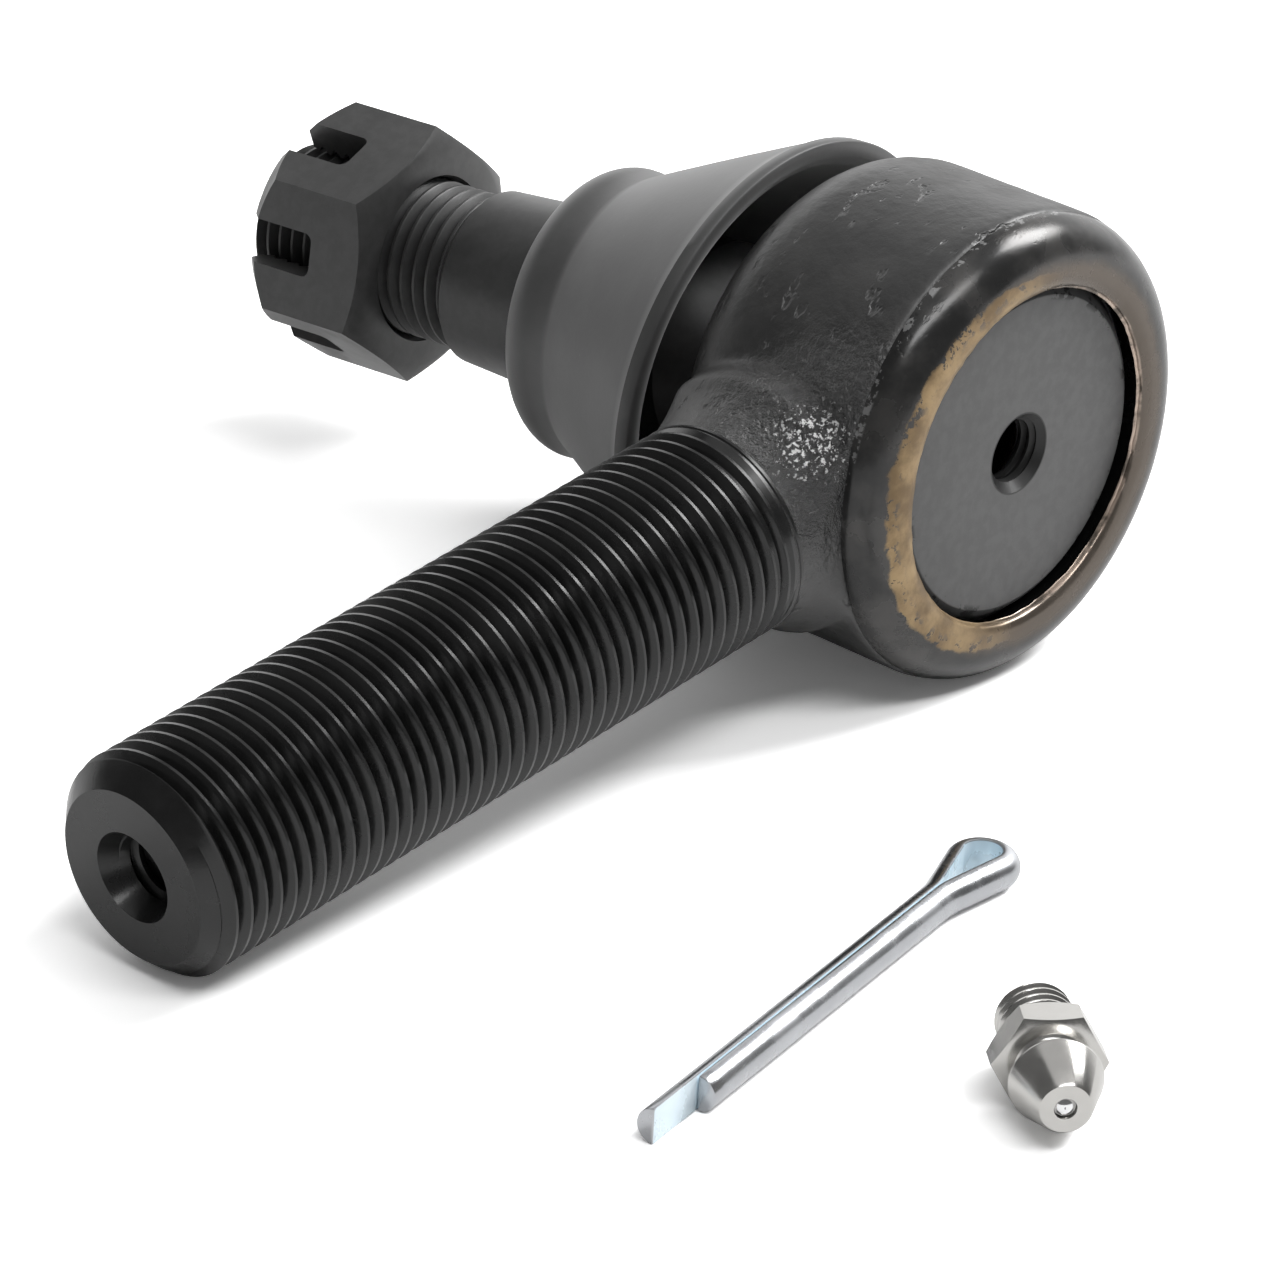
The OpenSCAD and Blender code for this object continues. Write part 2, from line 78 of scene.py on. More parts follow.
# %% Camera
camera_data = bpy.data.cameras.new("camera")
camera_data.sensor_width = 36
camera_data.lens = 185.6
camera_data.clip_start = 0.01
camera = bpy.data.objects.new("camera", camera_data)
bpy.context.scene.collection.objects.link(camera)
bpy.context.scene.camera = camera
camera_at = Vector((-0.4012, -0.3258, 0.2298))
looks_at = Vector((-0.0198, 0.0098, -0.0198))
camera_roll = math.radians(2.94)
aim = (looks_at - camera_at).to_track_quat("-Z", "Y").to_matrix().to_4x4()
camera.matrix_world = Matrix.Translation(camera_at) @ aim @ Matrix.Rotation(camera_roll, 4, "Z")
bpy.context.scene.view_settings.view_transform = "Standard"

# %% [markdown]
# ## Where the pieces stand
# Each piece is built upright round its own Z axis, in millimetres, because turned parts are easiest to think
# of that way. One matrix then lays it in place, in metres. The axes come from the model's mounts and joints.

# %% Places
def stand(origin, along, side):
    """The matrix that puts Z along one direction and X towards another, and makes millimetres metres."""
    z = Vector(along).normalized()
    x = (Vector(side) - z * z.dot(Vector(side))).normalized()
    turn = Matrix((x, z.cross(x), z)).transposed().to_4x4()
    return Matrix.Translation(origin) @ turn @ Matrix.Scale(MM, 4)


ball_centre = Vector(mounts["ball_centre"]["pos_m"])
socket_place = stand(ball_centre, (0, 1, 0), (1, 0, 0))

shank_way = Vector(mounts["shank_thread"]["axis"])
shank_mid = Vector(mounts["shank_thread"]["pos_m"])
shank_place = stand(shank_mid - shank_way * (shank_mid.x / shank_way.x), shank_way, (0, 0, 1))

stud_way = Vector(joints["stud_spin"]["axis"])
stud_place = stand(ball_centre, stud_way, Vector(joints["stud_tilt"]["axis"]).cross(stud_way))
print("stud leans", round(math.degrees(stud_way.angle(Vector((0, 1, 0)))), 2), "degrees")

# %% [markdown]
# ## Tools for turned parts
# A lathe spins an outline round Z. A thread is the same outline, one pitch long, that climbs while it turns.
# Both are closed solids, so one can be cut from or joined to another with a Boolean modifier.

# %% Outlines and the lathe
def arc(centre, radius, start, end, steps):
    """Points on an arc in the plane of radius and height, with angles in degrees."""
    angles = [math.radians(start + (end - start) * i / steps) for i in range(steps + 1)]
    return [(centre[0] + radius * math.cos(a), centre[1] + radius * math.sin(a)) for a in angles]


def face_outwards(bm):
    """Turns every face outwards. A solid that comes out inside out has a negative volume."""
    bmesh.ops.recalc_face_normals(bm, faces=bm.faces)
    if bm.calc_volume(signed=True) < 0:
        bmesh.ops.reverse_faces(bm, faces=bm.faces)


def lathe(outline, steps=128, ring=False):
    """A solid of revolution round Z. A ring's outline closes on itself instead of on the axis."""
    bm = bmesh.new()
    points = [bm.verts.new((r, 0, z)) for r, z in outline]
    edges = [bm.edges.new(pair) for pair in zip(points, points[1:])]
    if ring:
        edges.append(bm.edges.new((points[-1], points[0])))
    bmesh.ops.spin(bm, geom=points + edges, cent=(0, 0, 0), axis=(0, 0, 1), angle=2 * math.pi,
                   steps=steps, use_merge=True)
    bmesh.ops.remove_doubles(bm, verts=bm.verts, dist=1e-5)
    face_outwards(bm)
    return bm


def close_ends(bm):
    """Closes every open loop with one face."""
    rim = [e for e in bm.edges if e.is_boundary]
    bmesh.ops.holes_fill(bm, edges=rim, sides=0)
    face_outwards(bm)


def threaded_rod(crest_r, root_r, pitch, low, high, steps=64):
    """A rod with a right-hand thread, cut off square at both ends."""
    depth = crest_r - root_r
    flank = depth * math.tan(math.radians(30))
    crest_half = pitch / 12
    edge = min(0.09, depth / 6)
    if pitch / 2 - crest_half - flank - edge / 2 <= 0:
        raise ValueError("the thread's flanks overlap at the root")
    half = [(root_r, 0), (root_r, pitch / 2 - crest_half - flank - edge / 2),
            (crest_r - edge, pitch / 2 - crest_half - edge),
            (crest_r, pitch / 2 - crest_half)]
    profile = half + [(r, pitch - z) for r, z in reversed(half)]
    turns = math.ceil((high - low) / pitch) + 2
    bm = bmesh.new()
    points = [bm.verts.new((r, 0, low - pitch * 1.5 + z)) for r, z in profile]
    edges = [bm.edges.new(pair) for pair in zip(points, points[1:])]
    bmesh.ops.spin(bm, geom=points + edges, cent=(0, 0, 0), axis=(0, 0, 1), dvec=(0, 0, pitch / steps),
                   angle=2 * math.pi * turns, steps=steps * turns)
    bmesh.ops.remove_doubles(bm, verts=bm.verts, dist=1e-4)
    for height, way in ((low, -1), (high, 1)):
        geom = bm.verts[:] + bm.edges[:] + bm.faces[:]
        bmesh.ops.bisect_plane(bm, geom=geom, dist=1e-5, plane_co=(0, 0, height), plane_no=(0, 0, way),
                               clear_outer=True)
    close_ends(bm)
    return bm


# %% Joining and cutting solids
def as_object(bm, name="solid"):
    mesh = bpy.data.meshes.new(name)
    bm.to_mesh(mesh)
    bm.free()
    made = bpy.data.objects.new(name, mesh)
    bpy.context.scene.collection.objects.link(made)
    return made


def shaped(piece):
    """Applies a piece's modifiers and gives back its mesh as a bmesh. The piece is used up."""
    bpy.context.view_layer.update()
    done = piece.evaluated_get(bpy.context.evaluated_depsgraph_get())
    bm = bmesh.new()
    bm.from_mesh(done.data)
    bpy.data.objects.remove(piece)
    return bm


def combine(base, tool, operation):
    """UNION, DIFFERENCE or INTERSECT of two solids."""
    solid, other = as_object(base), as_object(tool)
    boolean = solid.modifiers.new("combine", "BOOLEAN")
    boolean.operation = operation
    boolean.solver = "EXACT"
    boolean.object = other
    result = shaped(solid)
    bpy.data.objects.remove(other)
    if not result.faces:
        raise ValueError("nothing is left after " + operation)
    return result


def soften_edges(bm, width, angle=30, segments=2):
    """Breaks the sharp edges, as tumbling or a deburring tool does."""
    solid = as_object(bm)
    bevel = solid.modifiers.new("bevel", "BEVEL")
    bevel.width = width
    bevel.segments = segments
    bevel.limit_method = "ANGLE"
    bevel.angle_limit = math.radians(angle)
    bevel.harden_normals = False
    return shaped(solid)


# %% [markdown]
# A finished piece rides on its body of the model, so that it moves with the joint, and stands for the plain
# solid that it replaces. Faces are smooth, and an edge sharper than a set angle stays crisp.

# %% Finishing a piece
def finish_piece(name, bm, where, material, body, stands_for=(), crisp=40):
    """Lays the solid in place, shades it and ties it to the model."""
    bmesh.ops.transform(bm, matrix=where, verts=bm.verts)
    bmesh.ops.dissolve_degenerate(bm, edges=bm.edges, dist=1e-8)
    for face in bm.faces:
        face.smooth = True
    for edge in bm.edges:
        edge.smooth = len(edge.link_faces) == 2 and edge.calc_face_angle(0) < math.radians(crisp)
    triangles = sum(len(face.verts) - 2 for face in bm.faces)
    piece = as_object(bm, name)
    piece.data.materials.append(material)
    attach(piece, body)
    if stands_for:
        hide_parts(*stands_for)
    print(name, triangles, "triangles")
    return piece


# %% [markdown]
# ## Materials
# Every finish is built from a few node groups: an uneven tone, a skin of fine bumps, and a patchy mask. They
# read Object coordinates, which are metres here, so a scale of 1000 means one feature to the millimetre.

# %% Small helpers for node trees
def add(tree, kind, inputs=None, **settings):
    """Adds a shader node, sets its options, and fills or links its inputs."""
    node = tree.nodes.new("ShaderNode" + kind)
    for key, value in settings.items():
        setattr(node, key, value)
    for key, value in (inputs or {}).items():
        if isinstance(value, bpy.types.NodeSocket):
            tree.links.new(value, node.inputs[key])
        else:
            node.inputs[key].default_value = value
    return node


def maths(tree, operation, a, b=0.0, clamp=False):
    return add(tree, "Math", {0: a, 1: b}, operation=operation, use_clamp=clamp).outputs[0]


def remap(tree, value, low, high, out_low=0.0, out_high=1.0):
    """Stretches low..high to out_low..out_high with soft ends."""
    node = add(tree, "MapRange", {"Value": value, "From Min": low, "From Max": high, "To Min": out_low,
                                  "To Max": out_high}, interpolation_type="SMOOTHSTEP")
    return node.outputs["Result"]


def colour_mix(tree, amount, first, second):
    """The colour sockets of a Mix node share names with its number sockets, so they are found by type."""
    node = add(tree, "Mix", data_type="RGBA")
    sockets = [node.inputs[0], node.inputs[6], node.inputs[7]]
    for socket, value in zip(sockets, (amount, first, second)):
        if isinstance(value, bpy.types.NodeSocket):
            tree.links.new(value, socket)
        else:
            socket.default_value = value
    return node.outputs[2]


def noise_value(tree, vector, scale, detail=4.0, rough=0.55):
    node = add(tree, "TexNoise", {"Vector": vector, "Scale": scale, "Detail": detail, "Roughness": rough})
    return node.outputs["Fac"]


def new_group(name, inputs, outputs):
    """A node group with named sockets: (kind, name, default) each."""
    tree = bpy.data.node_groups.new(name, "ShaderNodeTree")
    for kind, label, default in inputs:
        socket = tree.interface.new_socket(label, in_out="INPUT", socket_type="NodeSocket" + kind)
        if default is not None:
            socket.default_value = default
    for kind, label in outputs:
        tree.interface.new_socket(label, in_out="OUTPUT", socket_type="NodeSocket" + kind)
    return tree, tree.nodes.new("NodeGroupInput").outputs, tree.nodes.new("NodeGroupOutput").inputs


def use_group(tree, group, inputs):
    node = tree.nodes.new("ShaderNodeGroup")
    node.node_tree = group
    for key, value in inputs.items():
        if isinstance(value, bpy.types.NodeSocket):
            tree.links.new(value, node.inputs[key])
        else:
            node.inputs[key].default_value = value
    return node.outputs


# %% Uneven tone: two colours mixed by cloudy noise
tone_group, gi, go = new_group("uneven_tone", [("Vector", "Vector", None), ("Float", "Scale", 200.0),
                               ("Color", "Dark", (0, 0, 0, 1)), ("Color", "Light", (1, 1, 1, 1))],
                               [("Color", "Color"), ("Float", "Mask")])
cloud = noise_value(tone_group, gi["Vector"], gi["Scale"], 5.0, 0.6)
cloud = remap(tone_group, cloud, 0.36, 0.66)
tone_group.links.new(colour_mix(tone_group, cloud, gi["Dark"], gi["Light"]), go["Color"])
tone_group.links.new(cloud, go["Mask"])

# %% Skin: fine grain with scattered pits, as one height
skin_group, gi, go = new_group("metal_skin", [("Vector", "Vector", None), ("Float", "Grain Scale", 2500.0),
                               ("Float", "Pit Scale", 700.0), ("Float", "Grain", 0.3),
                               ("Float", "Pits", 0.5)],
                               [("Float", "Height"), ("Float", "Pit Mask")])
grain = maths(skin_group, "MULTIPLY", noise_value(skin_group, gi["Vector"], gi["Grain Scale"], 3.0),
              gi["Grain"])
stretched = add(skin_group, "VectorMath", {0: gi["Vector"], 1: (1.0, 1.9, 1.2)},
                operation="MULTIPLY").outputs["Vector"]
pit_noise = noise_value(skin_group, stretched, gi["Pit Scale"], 3.0, 0.5)
where_pits = remap(skin_group, noise_value(skin_group, gi["Vector"], 110.0, 3.0), 0.44, 0.60)
pit = maths(skin_group, "MULTIPLY", remap(skin_group, pit_noise, 0.40, 0.30), where_pits)
sunk = maths(skin_group, "MULTIPLY", pit, gi["Pits"])
skin_group.links.new(maths(skin_group, "SUBTRACT", grain, sunk), go["Height"])
skin_group.links.new(pit, go["Pit Mask"])

# %% Patches: where a coat is worn or dust has settled
patch_group, gi, go = new_group("patches", [("Vector", "Vector", None), ("Float", "Scale", 300.0),
                                ("Float", "Cover", 0.5), ("Float", "Softness", 0.08)], [("Float", "Mask")])
blotch = noise_value(patch_group, gi["Vector"], gi["Scale"], 7.0, 0.65)
edge_low = maths(patch_group, "SUBTRACT", maths(patch_group, "SUBTRACT", 1.0, gi["Cover"]), gi["Softness"])
edge_high = maths(patch_group, "ADD", maths(patch_group, "SUBTRACT", 1.0, gi["Cover"]), gi["Softness"])
patch_group.links.new(remap(patch_group, blotch, edge_low, edge_high), go["Mask"])


# %% Starting a material
def new_material(name, roughness, metallic=0.0, specular=0.5):
    """A Principled material and the pieces of it that the next lines fill in."""
    material = bpy.data.materials.new(name)
    material.use_nodes = True
    tree = material.node_tree
    shader = tree.nodes["Principled BSDF"]
    shader.inputs["Roughness"].default_value = roughness
    shader.inputs["Metallic"].default_value = metallic
    shader.inputs["Specular IOR Level"].default_value = specular
    place = add(tree, "TexCoord").outputs["Object"]
    return material, tree, shader, place


def bump(tree, shader, height, strength, depth_mm):
    node = add(tree, "Bump", {"Height": height, "Strength": strength, "Distance": depth_mm * MM})
    tree.links.new(node.outputs["Normal"], shader.inputs["Normal"])


def grey(level, warm=0.0):
    return (level * (1 + warm), level, level * (1 - warm), 1)


# %% [markdown]
# The forging wears a thin black paint over a skin of shallow pits. Where the shank leaves the body the paint
# pooled over rough metal, so that spot is glossy, and its glints there are painted in as white flecks.

# %% Black paint on the forging
forging_paint, tree, shader, place = new_material("forging_paint", 0.5, 0.0, 0.75)
tone = use_group(tree, tone_group,
                 {"Vector": place, "Scale": 120.0, "Dark": grey(0.016), "Light": grey(0.030, 0.02)})
skin = use_group(tree, skin_group, {"Vector": place, "Grain Scale": 1300.0, "Pit Scale": 330.0,
                                    "Grain": 0.30, "Pits": 1.3})
root_spot = add(tree, "VectorMath", {0: place, 1: (-0.0218, -0.0096, 0.0062)},
                operation="DISTANCE").outputs["Value"]
near_root = remap(tree, root_spot, 0.0052, 0.0012)
around_root = remap(tree, root_spot, 0.013, 0.005)
# Painted highlight: white flecks near the shank's root stand in for its glints.
glint_noise = noise_value(tree, place, 2100.0, 5.0, 0.7)
painted_glint_mask = maths(tree, "MULTIPLY",
                   remap(tree, maths(tree, "ADD", glint_noise, maths(tree, "MULTIPLY", near_root, 0.10)), 0.63,
                         0.66), near_root)
tree.links.new(colour_mix(tree, painted_glint_mask, tone["Color"], grey(0.85)), shader.inputs["Base Color"])
rough = remap(tree, tone["Mask"], 0.0, 1.0, 0.40, 0.52)
rough = maths(tree, "SUBTRACT", rough, maths(tree, "MULTIPLY", around_root, 0.24))
tree.links.new(rough, shader.inputs["Roughness"])
crumple = maths(tree, "MULTIPLY", noise_value(tree, place, 650.0, 5.0, 0.7),
                maths(tree, "MULTIPLY", around_root, 4.0))
bump(tree, shader, maths(tree, "ADD", skin["Height"], crumple), 0.8, 0.22)

# %% Black phosphate on the threads
thread_finish, tree, shader, place = new_material("thread_finish", 0.26)
tone = use_group(tree, tone_group,
                 {"Vector": place, "Scale": 150.0, "Dark": grey(0.006), "Light": grey(0.014)})
tree.links.new(tone["Color"], shader.inputs["Base Color"])
tree.links.new(remap(tree, tone["Mask"], 0.0, 1.0, 0.20, 0.30), shader.inputs["Roughness"])
bump(tree, shader, noise_value(tree, place, 2200.0, 3.0), 0.15, 0.04)

# %% Grey phosphate on the stud, the nut and the cover
def phosphate(name, dark, light, roughness, metallic, marks):
    """A crystalline grey coat: mottled, satin, with faint turning marks under it."""
    material, tree, shader, place = new_material(name, roughness, metallic)
    tone = use_group(tree, tone_group,
                     {"Vector": place, "Scale": 90.0, "Dark": grey(dark), "Light": grey(light)})
    fine = use_group(tree, tone_group,
                     {"Vector": place, "Scale": 900.0, "Dark": grey(0.85), "Light": grey(1.0)})
    mixed = add(tree, "Mix", data_type="RGBA", blend_type="MULTIPLY")
    mixed.inputs[0].default_value = 1.0
    tree.links.new(tone["Color"], mixed.inputs[6])
    tree.links.new(fine["Color"], mixed.inputs[7])
    tree.links.new(mixed.outputs[2], shader.inputs["Base Color"])
    tree.links.new(remap(tree, tone["Mask"], 0.0, 1.0, roughness - 0.05, roughness + 0.07),
                   shader.inputs["Roughness"])
    skin = use_group(tree, skin_group, {"Vector": place, "Grain Scale": 3000.0, "Pit Scale": 1400.0,
                                        "Grain": 0.3, "Pits": marks})
    bump(tree, shader, skin["Height"], 0.25, 0.04)
    return material


stud_finish = phosphate("stud_finish", 0.036, 0.050, 0.42, 0.2, 0.1)
nut_finish = phosphate("nut_finish", 0.050, 0.066, 0.38, 0.2, 0.2)
cover_finish = phosphate("cover_finish", 0.088, 0.110, 0.45, 0.2, 0.15)

# %% Painted shade in the cover's hole, and the dark nicks round its edge
tree = cover_finish.node_tree
shader = tree.nodes["Principled BSDF"]
place = add(tree, "TexCoord").outputs["Object"]
across = add(tree, "VectorMath", {0: place, 1: (1000, 0, 1000)}, operation="MULTIPLY").outputs["Vector"]
from_middle = add(tree, "VectorMath", {0: across}, operation="LENGTH").outputs["Value"]
# Painted shade: the tapped hole and its mouth are painted nearly black.
painted_hole_shade = remap(tree, from_middle, 3.75, 3.6)
nick = use_group(tree, patch_group,
                 {"Vector": place, "Scale": 500.0, "Cover": 0.43, "Softness": 0.01})["Mask"]
nick = maths(tree, "MULTIPLY", nick, remap(tree, from_middle, 13.4, 14.0))
nicks_and_hole_shade = maths(tree, "MAXIMUM", painted_hole_shade, nick)
plain = shader.inputs["Base Color"].links[0].from_socket
tree.links.new(colour_mix(tree, nicks_and_hole_shade, plain, grey(0.012)), shader.inputs["Base Color"])

# %% [markdown]
# The lip was rolled over the cover by a hard tool, which polished the steel dark, left a tan heat-tinted
# band
# on its inner slope on one side, and flaked the coat there. Radius and angle round the socket's axis
# place it.

# %% Rolled steel lip
lip_finish, tree, shader, place = new_material("lip_finish", 0.3, 0.6)
apart = add(tree, "SeparateXYZ", {0: place}).outputs
across = add(tree, "VectorMath", {0: place, 1: (1000, 0, 1000)}, operation="MULTIPLY").outputs["Vector"]
lip_radius = add(tree, "VectorMath", {0: across}, operation="LENGTH").outputs["Value"]
wobble = maths(tree, "MULTIPLY", maths(tree, "SUBTRACT", noise_value(tree, place, 300.0, 5.0, 0.65), 0.5),
               1.6)
worn_radius = maths(tree, "ADD", lip_radius, wobble)
turn_way = add(tree, "VectorMath", {0: across}, operation="NORMALIZE").outputs["Vector"]
leftness = add(tree, "VectorMath", {0: turn_way, 1: (-0.995, 0, 0.09)},
               operation="DOT_PRODUCT").outputs["Value"]
tone = use_group(tree, tone_group,
                 {"Vector": place, "Scale": 160.0, "Dark": grey(0.035), "Light": grey(0.070, 0.03)})

# Brown heat tint on the inner half all round, and the tan band on the left.
inner_half = remap(tree, worn_radius, 18.0, 16.6)
base = colour_mix(tree, maths(tree, "MULTIPLY", inner_half, 0.75), tone["Color"], (0.135, 0.110, 0.088, 1))
outer_limit = maths(tree, "ADD", 16.7, maths(tree, "MULTIPLY", maths(tree, "MAXIMUM", leftness, 0.0), 1.9))
inside = remap(tree, maths(tree, "SUBTRACT", worn_radius, outer_limit), 0.15, -0.25)
tan_mask = maths(tree, "MULTIPLY", inside, remap(tree, leftness, -0.20, 0.45))
flake = use_group(tree, patch_group,
                  {"Vector": place, "Scale": 1000.0, "Cover": 0.56, "Softness": 0.02})["Mask"]
near_limit = remap(tree, maths(tree, "SUBTRACT", outer_limit, worn_radius), 1.9, 0.3)
flake = maths(tree, "MAXIMUM", flake, maths(tree, "SUBTRACT", 1.0, near_limit))
tan_mask = maths(tree, "MULTIPLY", tan_mask, flake)
tan_tone = use_group(tree, tone_group, {"Vector": place, "Scale": 240.0, "Dark": (0.17, 0.115, 0.060, 1),
                                        "Light": (0.36, 0.255, 0.135, 1)})
base = colour_mix(tree, tan_mask, base, tan_tone["Color"])

# Painted highlight: the thin edge is painted lighter and coppery on the right, in broken patches. The chipped
# outer edge is lighter in flecks on its upper side only, partly painted glints. Painted shade: the undercut is
# black.
painted_edge_highlight = maths(tree, "MULTIPLY", remap(tree, lip_radius, 15.25, 15.05), remap(tree, leftness, 0.1, -0.5))
highlight_patches = use_group(tree, patch_group,
                   {"Vector": place, "Scale": 330.0, "Cover": 0.52, "Softness": 0.08})["Mask"]
base = colour_mix(tree, maths(tree, "MULTIPLY", painted_edge_highlight, highlight_patches), base, (0.50, 0.40, 0.33, 1))
# Lighter grey flecks on the chipped outer edge, kept to its upper side: chips, partly painted glints.
chips_and_glints = use_group(tree, patch_group,
                  {"Vector": place, "Scale": 900.0, "Cover": 0.45, "Softness": 0.02})["Mask"]
chips_and_glints = maths(tree, "MULTIPLY", chips_and_glints, remap(tree, lip_radius, 20.60, 20.68))
chips_and_glints = maths(tree, "MULTIPLY", chips_and_glints, remap(tree, apart["Z"], -0.004, 0.008))
base = colour_mix(tree, maths(tree, "MULTIPLY", chips_and_glints, 0.7), base, grey(0.38))
# Painted shade: the undercut under the thin edge is painted black and made not metallic.
painted_undercut_shade = maths(tree, "MULTIPLY", remap(tree, apart["Y"], -0.01480, -0.01472),
              remap(tree, lip_radius, 16.2, 16.0))
tree.links.new(colour_mix(tree, painted_undercut_shade, base, grey(0.004)), shader.inputs["Base Color"])
tree.links.new(maths(tree, "ADD", maths(tree, "MULTIPLY", tan_mask, 0.22),
                     remap(tree, tone["Mask"], 0, 1, 0.20, 0.29)),
               shader.inputs["Roughness"])
metal = maths(tree, "MULTIPLY", maths(tree, "SUBTRACT", 1.0, painted_undercut_shade), 0.6)
tree.links.new(metal, shader.inputs["Metallic"])
skin = use_group(tree, skin_group,
                 {"Vector": place, "Grain Scale": 1800.0, "Pit Scale": 900.0, "Grain": 0.2, "Pits": 0.4})
bump(tree, shader, maths(tree, "ADD", skin["Height"], maths(tree, "MULTIPLY", tan_mask, 0.3)), 0.45, 0.06)

# %% Rubber
boot_rubber, tree, shader, place = new_material("boot_rubber", 0.5, 0.0, 0.65)
tone = use_group(tree, tone_group,
                 {"Vector": place, "Scale": 110.0, "Dark": grey(0.040), "Light": grey(0.055)})
dust = use_group(tree, patch_group,
                 {"Vector": place, "Scale": 1400.0, "Cover": 0.30, "Softness": 0.02})["Mask"]
tree.links.new(colour_mix(tree, maths(tree, "MULTIPLY", dust, 0.35), tone["Color"], grey(0.12)),
               shader.inputs["Base Color"])
shader.inputs["Sheen Weight"].default_value = 0.25
shader.inputs["Sheen Roughness"].default_value = 0.5
bump(tree, shader, noise_value(tree, place, 1800.0, 4.0), 0.25, 0.03)

# %% Plating
def plating(name, colour, roughness, streak_scale, streak_way):
    """Bright plating with fine drawn streaks along one direction and soft cloudy dulling."""
    material, tree, shader, place = new_material(name, roughness, 1.0)
    tone = use_group(tree, tone_group,
                     {"Vector": place, "Scale": 180.0, "Dark": [c * 0.86 for c in colour[:3]] + [1],
                                        "Light": colour})
    # Painted reflection: the pin's inner faces are painted pale bluish white and made less metallic.
    inner = add(tree, "Attribute", attribute_name="inner_side").outputs["Fac"]
    tree.links.new(colour_mix(tree, inner, tone["Color"], (0.78, 0.90, 0.97, 1)),
                   shader.inputs["Base Color"])
    tree.links.new(maths(tree, "SUBTRACT", 1.0, maths(tree, "MULTIPLY", inner, 0.7)),
                   shader.inputs["Metallic"])
    tree.links.new(remap(tree, tone["Mask"], 0.0, 1.0, roughness, roughness + 0.1),
                   shader.inputs["Roughness"])
    mapping = add(tree, "Mapping", {"Vector": place, "Rotation": (0, 0, streak_way),
                                    "Scale": (0.06, 1.0, 1.0)},
                  vector_type="TEXTURE")
    streaks = noise_value(tree, mapping.outputs["Vector"], streak_scale, 3.0)
    bump(tree, shader, streaks, 0.12, 0.03)
    return material


pin_heading = math.radians(-168.6)
zinc = plating("zinc", (0.50, 0.51, 0.53, 1), 0.22, 900.0, pin_heading)
fitting_plate = plating("fitting_plate", (0.56, 0.55, 0.53, 1), 0.17, 700.0, 0.7)
steel_ball = plating("steel_ball", (0.85, 0.85, 0.86, 1), 0.08, 400.0, 0.0)
oiled_wire = phosphate("oiled_wire", 0.20, 0.30, 0.3, 0.9, 0.1)

# %% Greased bearing resin
bearing_resin, tree, shader, place = new_material("bearing_resin", 0.3)
tone = use_group(tree, tone_group, {"Vector": place, "Scale": 150.0, "Dark": (0.50, 0.42, 0.27, 1),
                                    "Light": (0.60, 0.52, 0.36, 1)})
tree.links.new(tone["Color"], shader.inputs["Base Color"])
bump(tree, shader, noise_value(tree, place, 900.0, 3.0), 0.15, 0.05)

# %% [markdown]
# ## The forging
# The socket and the shank's root are one forging. A lathe makes the round body and the flared root. A voxel
# remesh melts the two together, smoothing rounds the line where they meet as a die does, and a gentle noise
# presses shallow waves into the skin. Waves only go inwards, so the forging keeps its outer size.

# %% Forged body
body_r = 21.0
shoulder_r = 7.2
rear_z = 9.2
lip_starts = -12.55
bore_r = 14.7
thread_begins = 26.9
shank_r = mounts["shank_thread"]["dims"]["r_mm"]
root_fillet = 7.0

forging = lathe([(0, rear_z)] + arc((body_r - shoulder_r, rear_z - shoulder_r), shoulder_r, 90, 0, 12)
                + [(body_r, lip_starts + 0.25), (body_r - 0.25, lip_starts), (0, lip_starts)])
flare_mid = (shank_r + root_fillet, thread_begins - 1.4)
flare = lathe([(0, 8)] + [(11.9, 8)] + arc(flare_mid, root_fillet, 229, 180, 10)
              + [(shank_r - 0.7, thread_begins + 0.4), (0, thread_begins + 0.4)])
bmesh.ops.transform(flare, matrix=socket_place.inverted() @ shank_place, verts=flare.verts)
root_back = 6.2
keep = lathe([(0, root_back), (60, root_back), (60, lip_starts + 0.3), (0, lip_starts + 0.3)])
flare = combine(flare, keep, "INTERSECT")
forging = combine(forging, flare, "UNION")
hollow = lathe([(0, rear_z + 1), (11.4, rear_z + 1), (11.4, rear_z), (10, 5.7), (bore_r, 5.7),
                (bore_r, lip_starts - 1),
                (0, lip_starts - 1)])
forging = combine(forging, hollow, "DIFFERENCE")

# %% Remesh, smooth and roughen
voxel = 0.42
melted = as_object(forging)
remesh = melted.modifiers.new("remesh", "REMESH")
remesh.mode = "VOXEL"
remesh.voxel_size = voxel
forging = shaped(melted)
for _ in range(5):
    bmesh.ops.smooth_vert(forging, verts=forging.verts, factor=0.5, use_axis_x=True, use_axis_y=True,
                          use_axis_z=True)
forging.normal_update()
wave_depth = 0.10
for vert in forging.verts:
    wave = noise.noise(vert.co * 0.30) * 0.6 + noise.noise(vert.co * 0.9) * 0.4
    vert.co -= vert.normal * wave_depth * (0.5 + 0.5 * wave)
finish_piece("forged_socket", forging, socket_place, forging_paint, "socket",
             ["socket_housing"], 60)

# %% [markdown]
# ## The rolled lip
# The end of the bore was turned thin and rolled inwards over the cover. It is turned here as a ring of its
# own, so that its crown, its worn inner slope and its thin edge stay crisp beside the rough forging.

